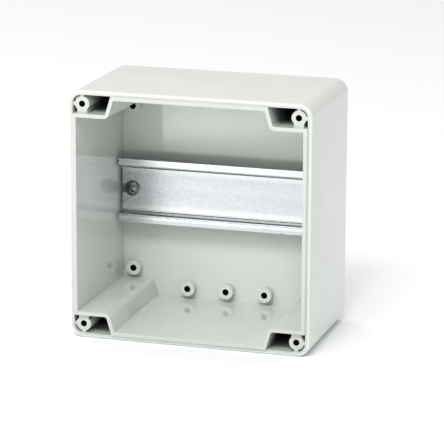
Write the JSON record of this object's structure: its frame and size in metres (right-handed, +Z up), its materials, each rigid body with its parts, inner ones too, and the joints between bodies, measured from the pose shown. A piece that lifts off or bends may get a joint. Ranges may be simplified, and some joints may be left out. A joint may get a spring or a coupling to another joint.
{
  "type": "din rail enclosure",
  "caption": "Open, nearly square moulded enclosure base with corner screw tubes, wall-mounting pockets and bosses, and a top-hat rail screwed across its back wall.",
  "frame": {"origin": "middle of the surface that the housing stands on, below the centre of its box", "axes": "+Z up, +X to the right in the front view, +Y from the open front to the back face"},
  "size_m": [0.13, 0.075, 0.132],
  "materials": {
    "housing_plastic": "smooth light grey moulding, slightly greenish",
    "zinc_sheet": "zinc-coated steel sheet with a faint mottle",
    "screw_steel": "dull zinc-plated steel"
  },
  "bodies": {
    "root": {"base": "housing_plastic", "din_rail": "zinc_sheet", "rail_screw_left": "screw_steel", "rail_screw_right": "screw_steel"}
  },
  "joints": []
}
